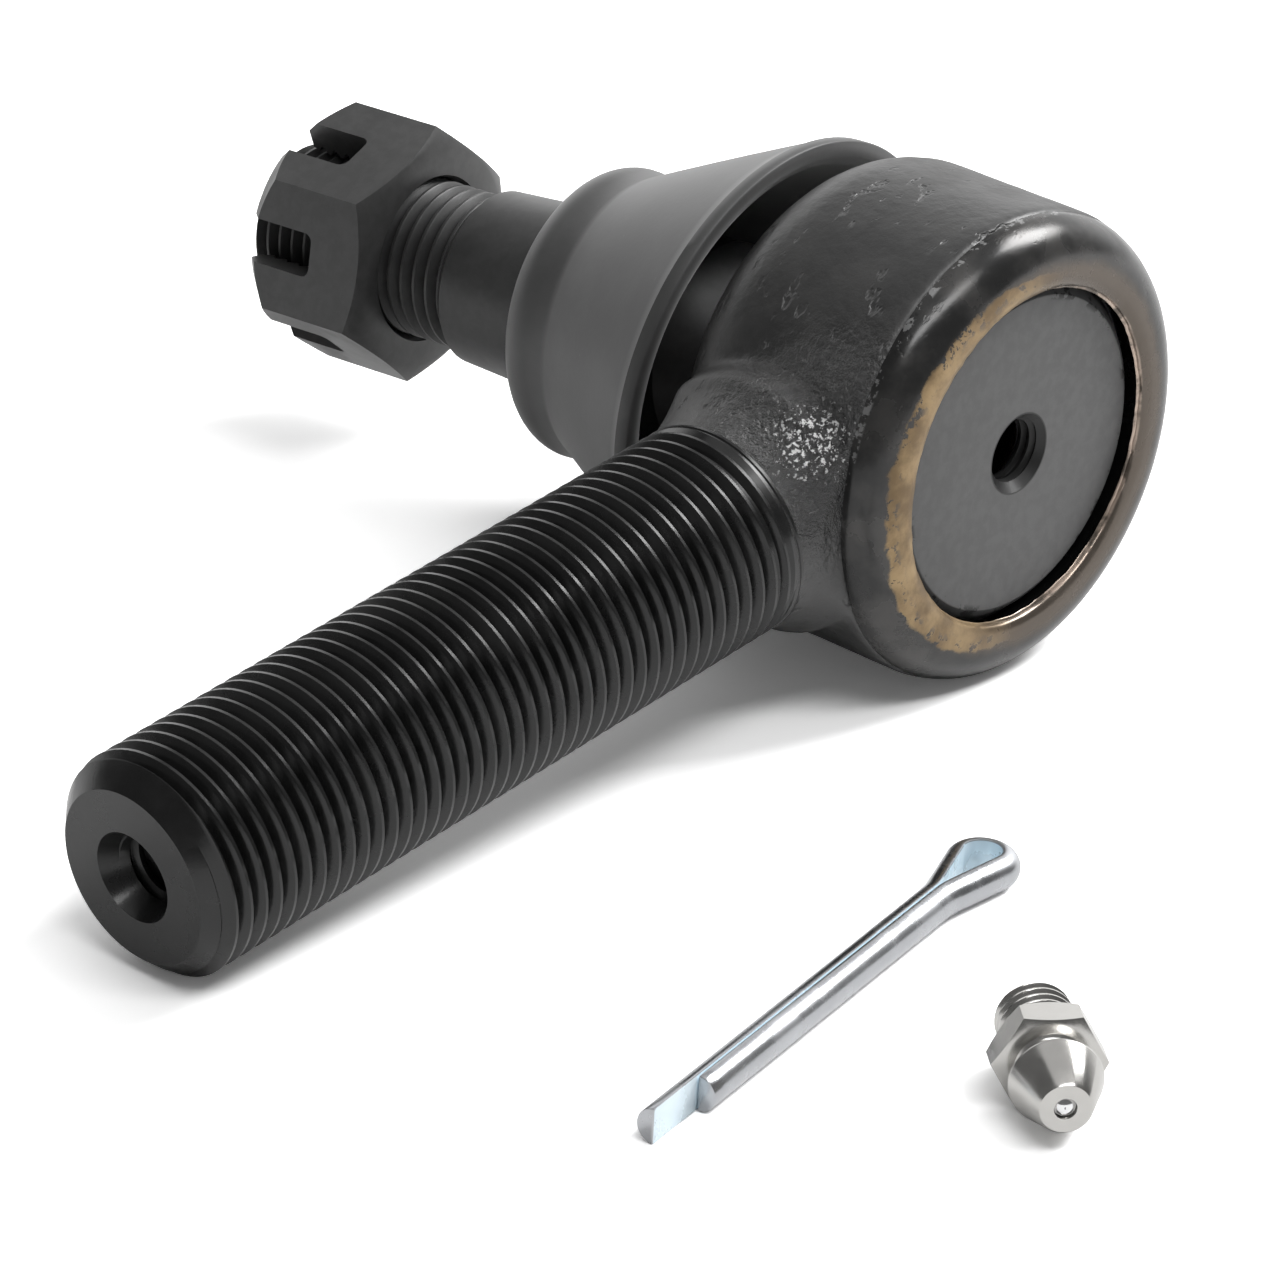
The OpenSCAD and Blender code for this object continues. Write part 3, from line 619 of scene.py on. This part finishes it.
# %% Rolled lip
lip_r = body_r - 0.3
lip_round = 4.0
lip_mid = (lip_r - lip_round * math.cos(math.radians(15)), -12.7 + lip_round * math.sin(math.radians(15)))
crown_z = lip_mid[1] - lip_round
lip_edge_r = 14.85
lip_outline = ([(lip_r - 2.5, lip_starts + 1), (lip_r - 0.02, lip_starts + 1), (lip_r, -12.7)]
               + arc(lip_mid, lip_round, -15, -90, 16)
               + arc((lip_mid[0] - 0.5, crown_z + 2.0), 2.0, -94, -128, 5)
               + [(lip_edge_r + 0.22, -15.02), (lip_edge_r + 0.06, -14.98), (lip_edge_r, -14.88),
                  (lip_edge_r + 0.08, -14.78), (lip_edge_r + 0.9, -14.5),
                  (lip_edge_r + 0.95, lip_starts + 1)])
lip = lathe(lip_outline, steps=256, ring=True)
for vert in lip.verts:
    radius = math.hypot(vert.co.x, vert.co.y)
    if radius < lip_edge_r + 0.4:
        ragged = noise.noise(vert.co * 1.1) * 0.10 + noise.noise(vert.co * 0.25) * 0.12
        vert.co.z += ragged
finish_piece("rolled_lip", lip, socket_place, lip_finish, "socket", (), 50)

# %% [markdown]
# ## Cover plate
# A stamped disc with a tapped hole for the grease fitting. Its rim is rounded by the stamping, and the
# tapped
# hole is cut with a real thread, whose turns catch the light inside.

# %% Cover plate
cover_face = -14.2
cover_back = -11.4
hole_r = mounts["grease_hole"]["dims"]["r_mm"]
grease_pitch = 0.907
cover = lathe([(0, cover_back), (15.5, cover_back), (15.5, cover_face + 1.5), (14.65, cover_face + 0.45)]
              + arc((13.95, cover_face + 0.25), 0.25, -30, -90, 3) + [(0, cover_face)])
tap = threaded_rod(hole_r + 0.42, hole_r, grease_pitch, cover_face - 1, cover_back + 1, steps=48)
cover = combine(cover, tap, "DIFFERENCE")
mouth = lathe([(0, cover_face - 0.5), (hole_r + 1.3, cover_face - 0.5), (hole_r - 0.1, cover_face + 0.9),
               (0, cover_face + 0.9)], steps=64)
cover = combine(cover, mouth, "DIFFERENCE")
finish_piece("cover_disc", cover, socket_place, cover_finish, "socket", ["cover_plate"])

# %% [markdown]
# ## The shank
# The rolled thread is a real helix, 16 turns to the inch. At the root it fades into the forging, and at the
# end a chamfer cuts through the last turn. The end face is countersunk round a small tapped hole.

# %% Threaded shank
shank_len = 92.15
shank_pitch = 25.4 / 16
shank_root_r = shank_r - 0.974
end_face_r = 7.5
end_chamfer = 1.7
shank = threaded_rod(shank_r, shank_root_r, shank_pitch, thread_begins - 3, shank_len - 0.01, steps=72)
fade = lathe([(0, thread_begins - 3.2), (shank_r - 0.25, thread_begins - 3.2),
              (shank_r - 0.1, thread_begins - 1),
              (shank_root_r - 0.1, thread_begins + 1.6), (0, thread_begins + 1.6)])
shank = combine(shank, fade, "UNION")
envelope = lathe([(0, thread_begins - 3.1), (shank_r - 0.2, thread_begins - 3.1),
                  (shank_r + 0.5, thread_begins - 1),
                  (shank_r + 0.5, shank_len - end_chamfer - 0.4), (shank_r - 0.35, shank_len - end_chamfer),
                  (end_face_r + 0.12, shank_len - 0.12), (end_face_r, shank_len - 0.02),
                  (0, shank_len - 0.02)])
shank = combine(shank, envelope, "INTERSECT")

# %% End hole
end_hole_r = mounts["shank_end_hole"]["dims"]["r_mm"]
sink_depth = 2.2
end_hole_pitch = 1.27
end_hole_thread_depth = 0.55
end_tap = threaded_rod(end_hole_r + end_hole_thread_depth, end_hole_r, end_hole_pitch,
                       shank_len - sink_depth - 11, shank_len - 1.4, steps=48)
sink = lathe([(0, shank_len + 0.5), (end_hole_r + 1.55, shank_len + 0.5), (end_hole_r + 1.3, shank_len),
              (end_hole_r + 1.05, shank_len - 0.6), (end_hole_r + 0.5, shank_len - 1.6),
              (end_hole_r - 0.02, shank_len - sink_depth - 0.3), (0, shank_len - sink_depth - 0.3)],
              steps=72)
shank = combine(shank, end_tap, "DIFFERENCE")
shank = combine(shank, sink, "DIFFERENCE")
finish_piece("threaded_shank", shank, shank_place, thread_finish, "socket", (), 24)

# %% [markdown]
# ## Ball stud
# Ball, neck and taper are turned in one piece. The thread beyond the taper is a helix again, and the hole
# for the cotter pin crosses it near the end.

# %% Ball stud
ball_r = 11.0
neck_r = 6.8
taper_end = 43.7
taper_end_r = 7.95
stud_thread_r = 7.144
stud_thread_depth = 0.866
stud_root_r = stud_thread_r - stud_thread_depth
neck_flare_r = 9.525
cotter_hole_r = 1.8
cotter_hole_in = 9.4
stud_pitch = 25.4 / 18
stud_end = 66.4
ball_flat = 8.0
flat_angle = -math.degrees(math.asin(ball_flat / ball_r))
neck_angle = math.degrees(math.acos(neck_r / ball_r))
stud = lathe([(0, -ball_flat)] + arc((0, 0), ball_r, flat_angle, neck_angle, 36)
             + [(neck_r, 15), (neck_flare_r, 18.5), (taper_end_r + 0.25, taper_end - 4),
                (taper_end_r, taper_end - 0.15),
                (taper_end_r - 0.2, taper_end), (stud_root_r, taper_end + taper_end_r - stud_root_r),
                (stud_root_r, stud_end - 2), (0, stud_end - 2)], steps=96)
stud_thread = threaded_rod(stud_thread_r, stud_root_r - 0.01, stud_pitch, taper_end + 0.6,
                           stud_end - 0.01, steps=64)
end_shape = lathe([(0, taper_end), (stud_thread_r + 1, taper_end), (stud_thread_r + 1, stud_end - 1.6),
                   (stud_root_r - 0.3, stud_end - 0.02), (0, stud_end - 0.02)], steps=64)
stud_thread = combine(stud_thread, end_shape, "INTERSECT")
stud = combine(stud, stud_thread, "UNION")
cross_hole = lathe([(0, -12), (cotter_hole_r, -12), (cotter_hole_r, 12), (0, 12)], steps=32)
bmesh.ops.rotate(cross_hole, verts=cross_hole.verts, cent=(0, 0, 0),
                 matrix=Matrix.Rotation(math.pi / 2, 3, "X"))
bmesh.ops.translate(cross_hole, verts=cross_hole.verts, vec=(0, 0, stud_end - cotter_hole_in))
stud = combine(stud, cross_hole, "DIFFERENCE")
finish_piece("tapered_stud", stud, stud_place, stud_finish, "stud", ["ball_stud"], 27)

# %% [markdown]
# ## Dust boot
# The boot is soft rubber: a rounded collar that grips the taper and a thin skirt that flares to a rim. It is
# turned true, and then the rim is pushed out of round and out of square, as it lies on the bench.

# %% Dust boot
collar_end = 33.4
shoulder_h = 3.0
collar_face_r = 10.0
boot_neck_r = 13.2
skirt_top = 29.0
rim_z = 11.9
rim_band = 1.4
rim_r = 20.35
boot_wall = 2.0
rim_wall = 1.5
band_top = rim_z + rim_band
grip_r = taper_end_r + 0.0625 * (taper_end - collar_end) + 0.05
shoulder_z = collar_end - shoulder_h
shoulder_arc = [(collar_face_r + (boot_neck_r - collar_face_r) * x, shoulder_z + shoulder_h * z)
                for x, z in arc((0, 0), 1, 90, -12, 14)]
skirt = [(boot_neck_r - 0.28 + (rim_r - 0.15 - boot_neck_r + 0.28) * t,
          skirt_top - 0.8 + (band_top - skirt_top + 0.8) * t)
         for t in (0, 0.06, 0.2, 0.4, 0.6, 0.8, 0.94, 1)]
skirt_inside = [(r - boot_wall, z - 0.9) for r, z in reversed(skirt)]
boot_outline = ([(grip_r + 0.15, collar_end)] + shoulder_arc + skirt
                + [(rim_r, band_top - 0.12), (rim_r, rim_z + 0.15), (rim_r - 0.15, rim_z),
                   (rim_r - rim_wall + 0.1, rim_z),
                   (rim_r - rim_wall, rim_z + 0.1)] + skirt_inside
                + [(boot_neck_r - boot_wall, shoulder_z), (grip_r + 0.3, shoulder_z + 1.5),
                   (grip_r, shoulder_z + 2)])
boot = lathe(boot_outline, steps=160, ring=True)

# %% Push the rim askew
rim_shift = Vector((-0.41, -0.12))
rim_slope = Vector((0.092, -0.081))
rim_sag = 0.2
low_side = math.radians(159.2 - 180 + 131.5)
for vert in boot.verts:
    radius = math.hypot(vert.co.x, vert.co.y)
    angle = math.atan2(vert.co.y, vert.co.x)
    skew = min(max((skirt_top - vert.co.z) / (skirt_top - band_top), 0), 1)
    radius += skew * rim_sag * math.cos(angle - low_side) ** 2
    x, y = radius * math.cos(angle), radius * math.sin(angle)
    tilt = skew * (rim_slope.x * x + rim_slope.y * y)
    vert.co = Vector((x + skew * rim_shift.x, y + skew * rim_shift.y, vert.co.z + tilt))
finish_piece("dust_boot_skin", boot, stud_place, boot_rubber, "boot", ["dust_boot"], 50)

# %% [markdown]
# ## Slotted nut
# A hexagon with both ends chamfered on the lathe and six slots sawn in its outer end. The thread inside is
# cut last, and shows through the slots.

# %% Slotted nut
nut_flats = 20.64
nut_face = 50.9
nut_h = 13.2
slot_w = 4.0
slot_depth = 7.5
nut_chamfer = 2.8
corner_r = nut_flats / 2 / math.cos(math.radians(30))
nut_top = nut_face + nut_h
nut = lathe([(0, nut_face), (corner_r, nut_face), (corner_r, nut_top), (0, nut_top)], steps=6)
nut_shape = lathe([(0, nut_face), (nut_flats / 2 - 0.3, nut_face), (corner_r + 0.1, nut_face + 1.2),
                   (corner_r + 0.1, nut_top - nut_chamfer), (nut_flats / 2 - 0.9, nut_top), (0, nut_top)],
                   steps=96)
nut = combine(nut, nut_shape, "INTERSECT")
bore = lathe([(0, nut_face - 1), (stud_thread_r + 1, nut_face - 1), (stud_thread_r + 0.06, nut_face + 0.8),
              (stud_thread_r + 0.06, nut_top - 0.8), (stud_thread_r + 1, nut_top + 1), (0, nut_top + 1)],
              steps=64)
nut = combine(nut, bore, "DIFFERENCE")
for turn in (30, 90, 150):
    saw = bmesh.new()
    bmesh.ops.create_cube(saw, size=1)
    bmesh.ops.scale(saw, vec=(4 * corner_r, slot_w, slot_depth * 2), verts=saw.verts)
    floor_edges = [e for e in saw.edges
                   if all(v.co.z < 0 for v in e.verts) and e.verts[0].co.y == e.verts[1].co.y]
    bmesh.ops.bevel(saw, geom=floor_edges, offset=0.8, segments=4, profile=0.5, affect="EDGES")
    bmesh.ops.translate(saw, vec=(0, 0, nut_top), verts=saw.verts)
    bmesh.ops.rotate(saw, verts=saw.verts, cent=(0, 0, 0),
                     matrix=Matrix.Rotation(math.radians(turn), 3, "Z"))
    nut = combine(nut, saw, "DIFFERENCE")
nut = soften_edges(nut, 0.22)
# The nut turns without climbing, so its thread is cut clear of the stud's crests.
nut_tap = threaded_rod(stud_thread_r + 0.7, stud_thread_r + 0.05, stud_pitch, nut_face - 1, nut_top + 1,
                       steps=64)
nut = combine(nut, nut_tap, "DIFFERENCE")
finish_piece("castle_nut", nut, stud_place, nut_finish, "nut", ["slotted_nut"], 35)

# %% [markdown]
# ## Cotter pin
# The pin is half-round wire folded on itself, flat sides together, with an eye at the fold. A half disc is
# pushed along the first leg, bent round the eye by spins, and pushed back along the second leg.

# %% Cotter pin
pin_low, pin_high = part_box("cotter_pin")
pin_r = 1.55
eye_r = 1.6
eye_reach = 7.0
long_leg = 44.0
leg_step = 6.2
leg_gap = 0.1
eye_outer = (eye_r + pin_r) * MM
eye_centre = Vector((pin_high.x - eye_outer, pin_high.y - eye_outer, pin_low.z + pin_r * MM))
legs_way = Vector((math.cos(pin_heading), math.sin(pin_heading), 0))
pin_place = stand(eye_centre + legs_way * eye_reach * MM, (0, 0, 1), legs_way)

side_gap = leg_gap / 2
spread = math.asin((eye_r - side_gap) / eye_reach)
bend_r = 9.0


def push(bm, section, way, length, steps=1):
    """Extrudes the end face along a direction and gives back the new end."""
    for _ in range(steps):
        out = bmesh.ops.extrude_face_region(bm, geom=[section])
        verts = [g for g in out["geom"] if isinstance(g, bmesh.types.BMVert)]
        bmesh.ops.translate(bm, verts=verts, vec=way * (length / steps))
        bmesh.ops.delete(bm, geom=[section], context="FACES")
        section = [g for g in out["geom"] if isinstance(g, bmesh.types.BMFace)][0]
    return section


def bend(bm, section, centre, angle, steps):
    """Sweeps the end face round an upright axis and gives back the new end."""
    for _ in range(steps):
        out = bmesh.ops.extrude_face_region(bm, geom=[section])
        verts = [g for g in out["geom"] if isinstance(g, bmesh.types.BMVert)]
        bmesh.ops.rotate(bm, verts=verts, cent=centre, matrix=Matrix.Rotation(angle / steps, 3, "Z"))
        bmesh.ops.delete(bm, geom=[section], context="FACES")
        section = [g for g in out["geom"] if isinstance(g, bmesh.types.BMFace)][0]
    return section


# The straight part of each leg meets the slanting side of the eye in a gentle bend of radius bend_r.
tangent = bend_r * math.tan(spread / 2)
slant = math.sqrt(eye_reach ** 2 - (eye_r - side_gap) ** 2)
wire = bmesh.new()
rim = [wire.verts.new((long_leg - leg_step, side_gap + pin_r * math.sin(math.radians(a)),
                       pin_r * math.cos(math.radians(a)))) for a in range(0, 181, 9)]
section = wire.faces.new(rim)
section.normal_update()
section = push(wire, section, Vector((-1, 0, 0)), long_leg - leg_step - tangent, 24)
section = bend(wire, section, (tangent, side_gap + bend_r, 0), -spread, 6)
out_way = Vector((-math.cos(spread), math.sin(spread), 0))
section = push(wire, section, out_way, slant - tangent, 4)
section = bend(wire, section, (-eye_reach, 0, 0), math.pi + 2 * spread, 36)
back_way = Vector((math.cos(spread), math.sin(spread), 0))
section = push(wire, section, back_way, slant - tangent, 4)
section = bend(wire, section, (tangent, -side_gap - bend_r, 0), -spread, 6)
section = push(wire, section, Vector((1, 0, 0)), long_leg - tangent, 24)
close_ends(wire)
wire = soften_edges(wire, 0.12, 35, 2)
# Faces inside the fold and the eye are marked for a painted pale reflection.
inner_layer = wire.faces.layers.float.new("inner_side")
wire.normal_update()
for face in wire.faces:
    middle = face.calc_center_median()
    from_fold = (middle - Vector((-eye_reach, 0, 0))) if middle.x < -eye_reach else Vector((0, middle.y, 0))
    facing_in = face.normal.dot(from_fold.normalized()) < -0.9 if from_fold.length > 1e-6 else False
    face[inner_layer] = 1.0 if facing_in else 0.0
finish_piece("zinc_cotter_pin", wire, pin_place, zinc, "pin", ["cotter_pin"], 40)

# %% [markdown]
# ## Grease fitting
# A small turned fitting: thread, hexagon, neck and a conical head with a flat tip. A steel ball closes the
# hole in the tip.

# %% Grease fitting
ball_low, ball_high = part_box("grease_fitting_ball")
head_way = -Vector(joints["check_ball_push"]["axis"])
check_r = 1.2
port_r = 0.9
fitting_len = 14.3
ball_seat = fitting_len - 0.4 - math.sqrt(check_r ** 2 - port_r ** 2) - 0.03
fitting_place = stand((ball_low + ball_high) / 2 - head_way * ball_seat * MM, head_way, (0, 0, -1))

thread_len = 5.2
hex_top = 8.0
hex_flats = 7.94
neck_r = 2.4
head_z = 9.4
head_r = 3.7
tip_r = 2.1
fitting_thread_r = 3.12
turned = lathe([(0, 0.4), (2.3, 0.4), (2.3, thread_len - 0.2), (2.3, hex_top - 0.3),
                (neck_r + 0.35, hex_top - 0.3)]
               + arc((neck_r + 0.7, hex_top + 0.7), 0.7, 250, 180, 4) + [(neck_r, head_z - 0.3),
                                                                         (head_r - 0.3, head_z + 0.45)]
               + arc((head_r - 0.35, head_z + 0.85), 0.35, -50, 30, 5)
               + [(tip_r + 0.12, fitting_len - 0.25), (tip_r - 0.1, fitting_len - 0.02),
                  (0, fitting_len - 0.02)], steps=72)
fitting_thread = threaded_rod(fitting_thread_r, fitting_thread_r - 0.48, grease_pitch, 0.02,
                              thread_len - 0.1, steps=48)
thread_shape = lathe([(0, 0), (2.5, 0), (3.3, 0.7), (3.3, thread_len), (0, thread_len)], steps=48)
fitting_thread = combine(fitting_thread, thread_shape, "INTERSECT")
hex_corner = hex_flats / 2 / math.cos(math.radians(30))
hexagon = lathe([(0, thread_len - 0.15), (hex_corner, thread_len - 0.15), (hex_corner, hex_top),
                 (0, hex_top)], steps=6)
bmesh.ops.rotate(hexagon, verts=hexagon.verts, cent=(0, 0, 0),
                 matrix=Matrix.Rotation(math.radians(30), 3, "Z"))
hex_shape = lathe([(0, thread_len - 0.15), (hex_flats / 2 - 0.1, thread_len - 0.15),
                   (hex_corner + 0.1, thread_len + 0.4),
                   (hex_corner + 0.1, hex_top - 0.5), (hex_flats / 2 - 0.3, hex_top), (0, hex_top)],
                   steps=72)
hexagon = combine(hexagon, hex_shape, "INTERSECT")
fitting = combine(turned, hexagon, "UNION")
fitting = combine(fitting, fitting_thread, "UNION")
port = lathe([(0, -1), (port_r, -1), (port_r, 2), (1.5, 2.2), (1.5, 13.2), (port_r, 13.9), (port_r, 16),
              (0, 16)], steps=32)
fitting = combine(fitting, port, "DIFFERENCE")
finish_piece("plated_grease_fitting", fitting, fitting_place, fitting_plate, "fitting",
             ["grease_fitting_body"], 35)

# %% Model pieces that keep their shape
for node, material in (("stud_side_bearing", bearing_resin), ("cover_side_bearing", bearing_resin),
                       ("preload_spring", oiled_wire), ("grease_fitting_ball", steel_ball),
                       ("grease_fitting_spring", oiled_wire)):
    frame["nodes"][node].material_slots[0].material = material

# %% [markdown]
# ## Floor and light
# A white sheet, a big soft box above, and two weaker ones at the sides. Dark glossy parts are drawn by what
# they reflect, so the world is bright for reflections.

# %% Floor
floor_z = cad_box[0][2]
floor_bm = bmesh.new()
bmesh.ops.create_grid(floor_bm, x_segments=2, y_segments=2, size=3)
bmesh.ops.translate(floor_bm, verts=floor_bm.verts, vec=(0, 0, floor_z))
floor = as_object(floor_bm, "floor")
floor_white = bpy.data.materials.new("floor_white")
floor_white.use_nodes = True
tree = floor_white.node_tree
tree.nodes.remove(tree.nodes["Principled BSDF"])
seen = add(tree, "LightPath").outputs["Is Camera Ray"]
sheet = add(tree, "BsdfDiffuse", {"Color": colour_mix(tree, seen, grey(0.86), grey(1.55))})
lit = add(tree, "Emission", {"Color": (1, 1, 1, 1), "Strength": maths(tree, "MULTIPLY", seen, 0.06)})
both = add(tree, "AddShader", {0: sheet.outputs[0], 1: lit.outputs[0]})
tree.links.new(both.outputs[0], tree.nodes["Material Output"].inputs["Surface"])
floor.data.materials.append(floor_white)

# %% Lights
def soft_box(name, at, towards, size, watts):
    lamp = bpy.data.lights.new(name, "AREA")
    lamp.shape = "RECTANGLE"
    lamp.size, lamp.size_y = size
    lamp.energy = watts
    made = bpy.data.objects.new(name, lamp)
    bpy.context.scene.collection.objects.link(made)
    way = Vector(towards) - Vector(at)
    made.matrix_world = Matrix.Translation(at) @ way.to_track_quat("-Z", "Y").to_matrix().to_4x4()


soft_box("right_light", (0.60, -0.22, 0.63), (-0.02, 0, 0), (0.32, 0.40), 7.6)
soft_box("front_light", (-0.17, -0.45, 0.80), (-0.02, 0, 0), (0.75, 0.16), 3.4)
soft_box("top_light", (0.0, 0.05, 0.95), (-0.02, 0, 0), (1.0, 1.0), 1.8)

# %% World: a white backdrop behind the part, and a dim room elsewhere
world = bpy.data.worlds.new("studio")
bpy.context.scene.world = world
world.use_nodes = True
tree = world.node_tree
way = add(tree, "TexCoord").outputs["Generated"]
behind = add(tree, "VectorMath", {0: way, 1: (0.75, 0.66, 0)}, operation="DOT_PRODUCT").outputs["Value"]
height = add(tree, "SeparateXYZ", {0: way}).outputs["Z"]
backdrop = maths(tree, "MULTIPLY", remap(tree, behind, 0.30, 0.80), remap(tree, height, 0.85, 0.40))
strength = maths(tree, "ADD", 0.16, maths(tree, "MULTIPLY", backdrop, 1.45))
tree.nodes["Background"].inputs["Color"].default_value = (1, 1, 1, 1)
tree.links.new(strength, tree.nodes["Background"].inputs["Strength"])
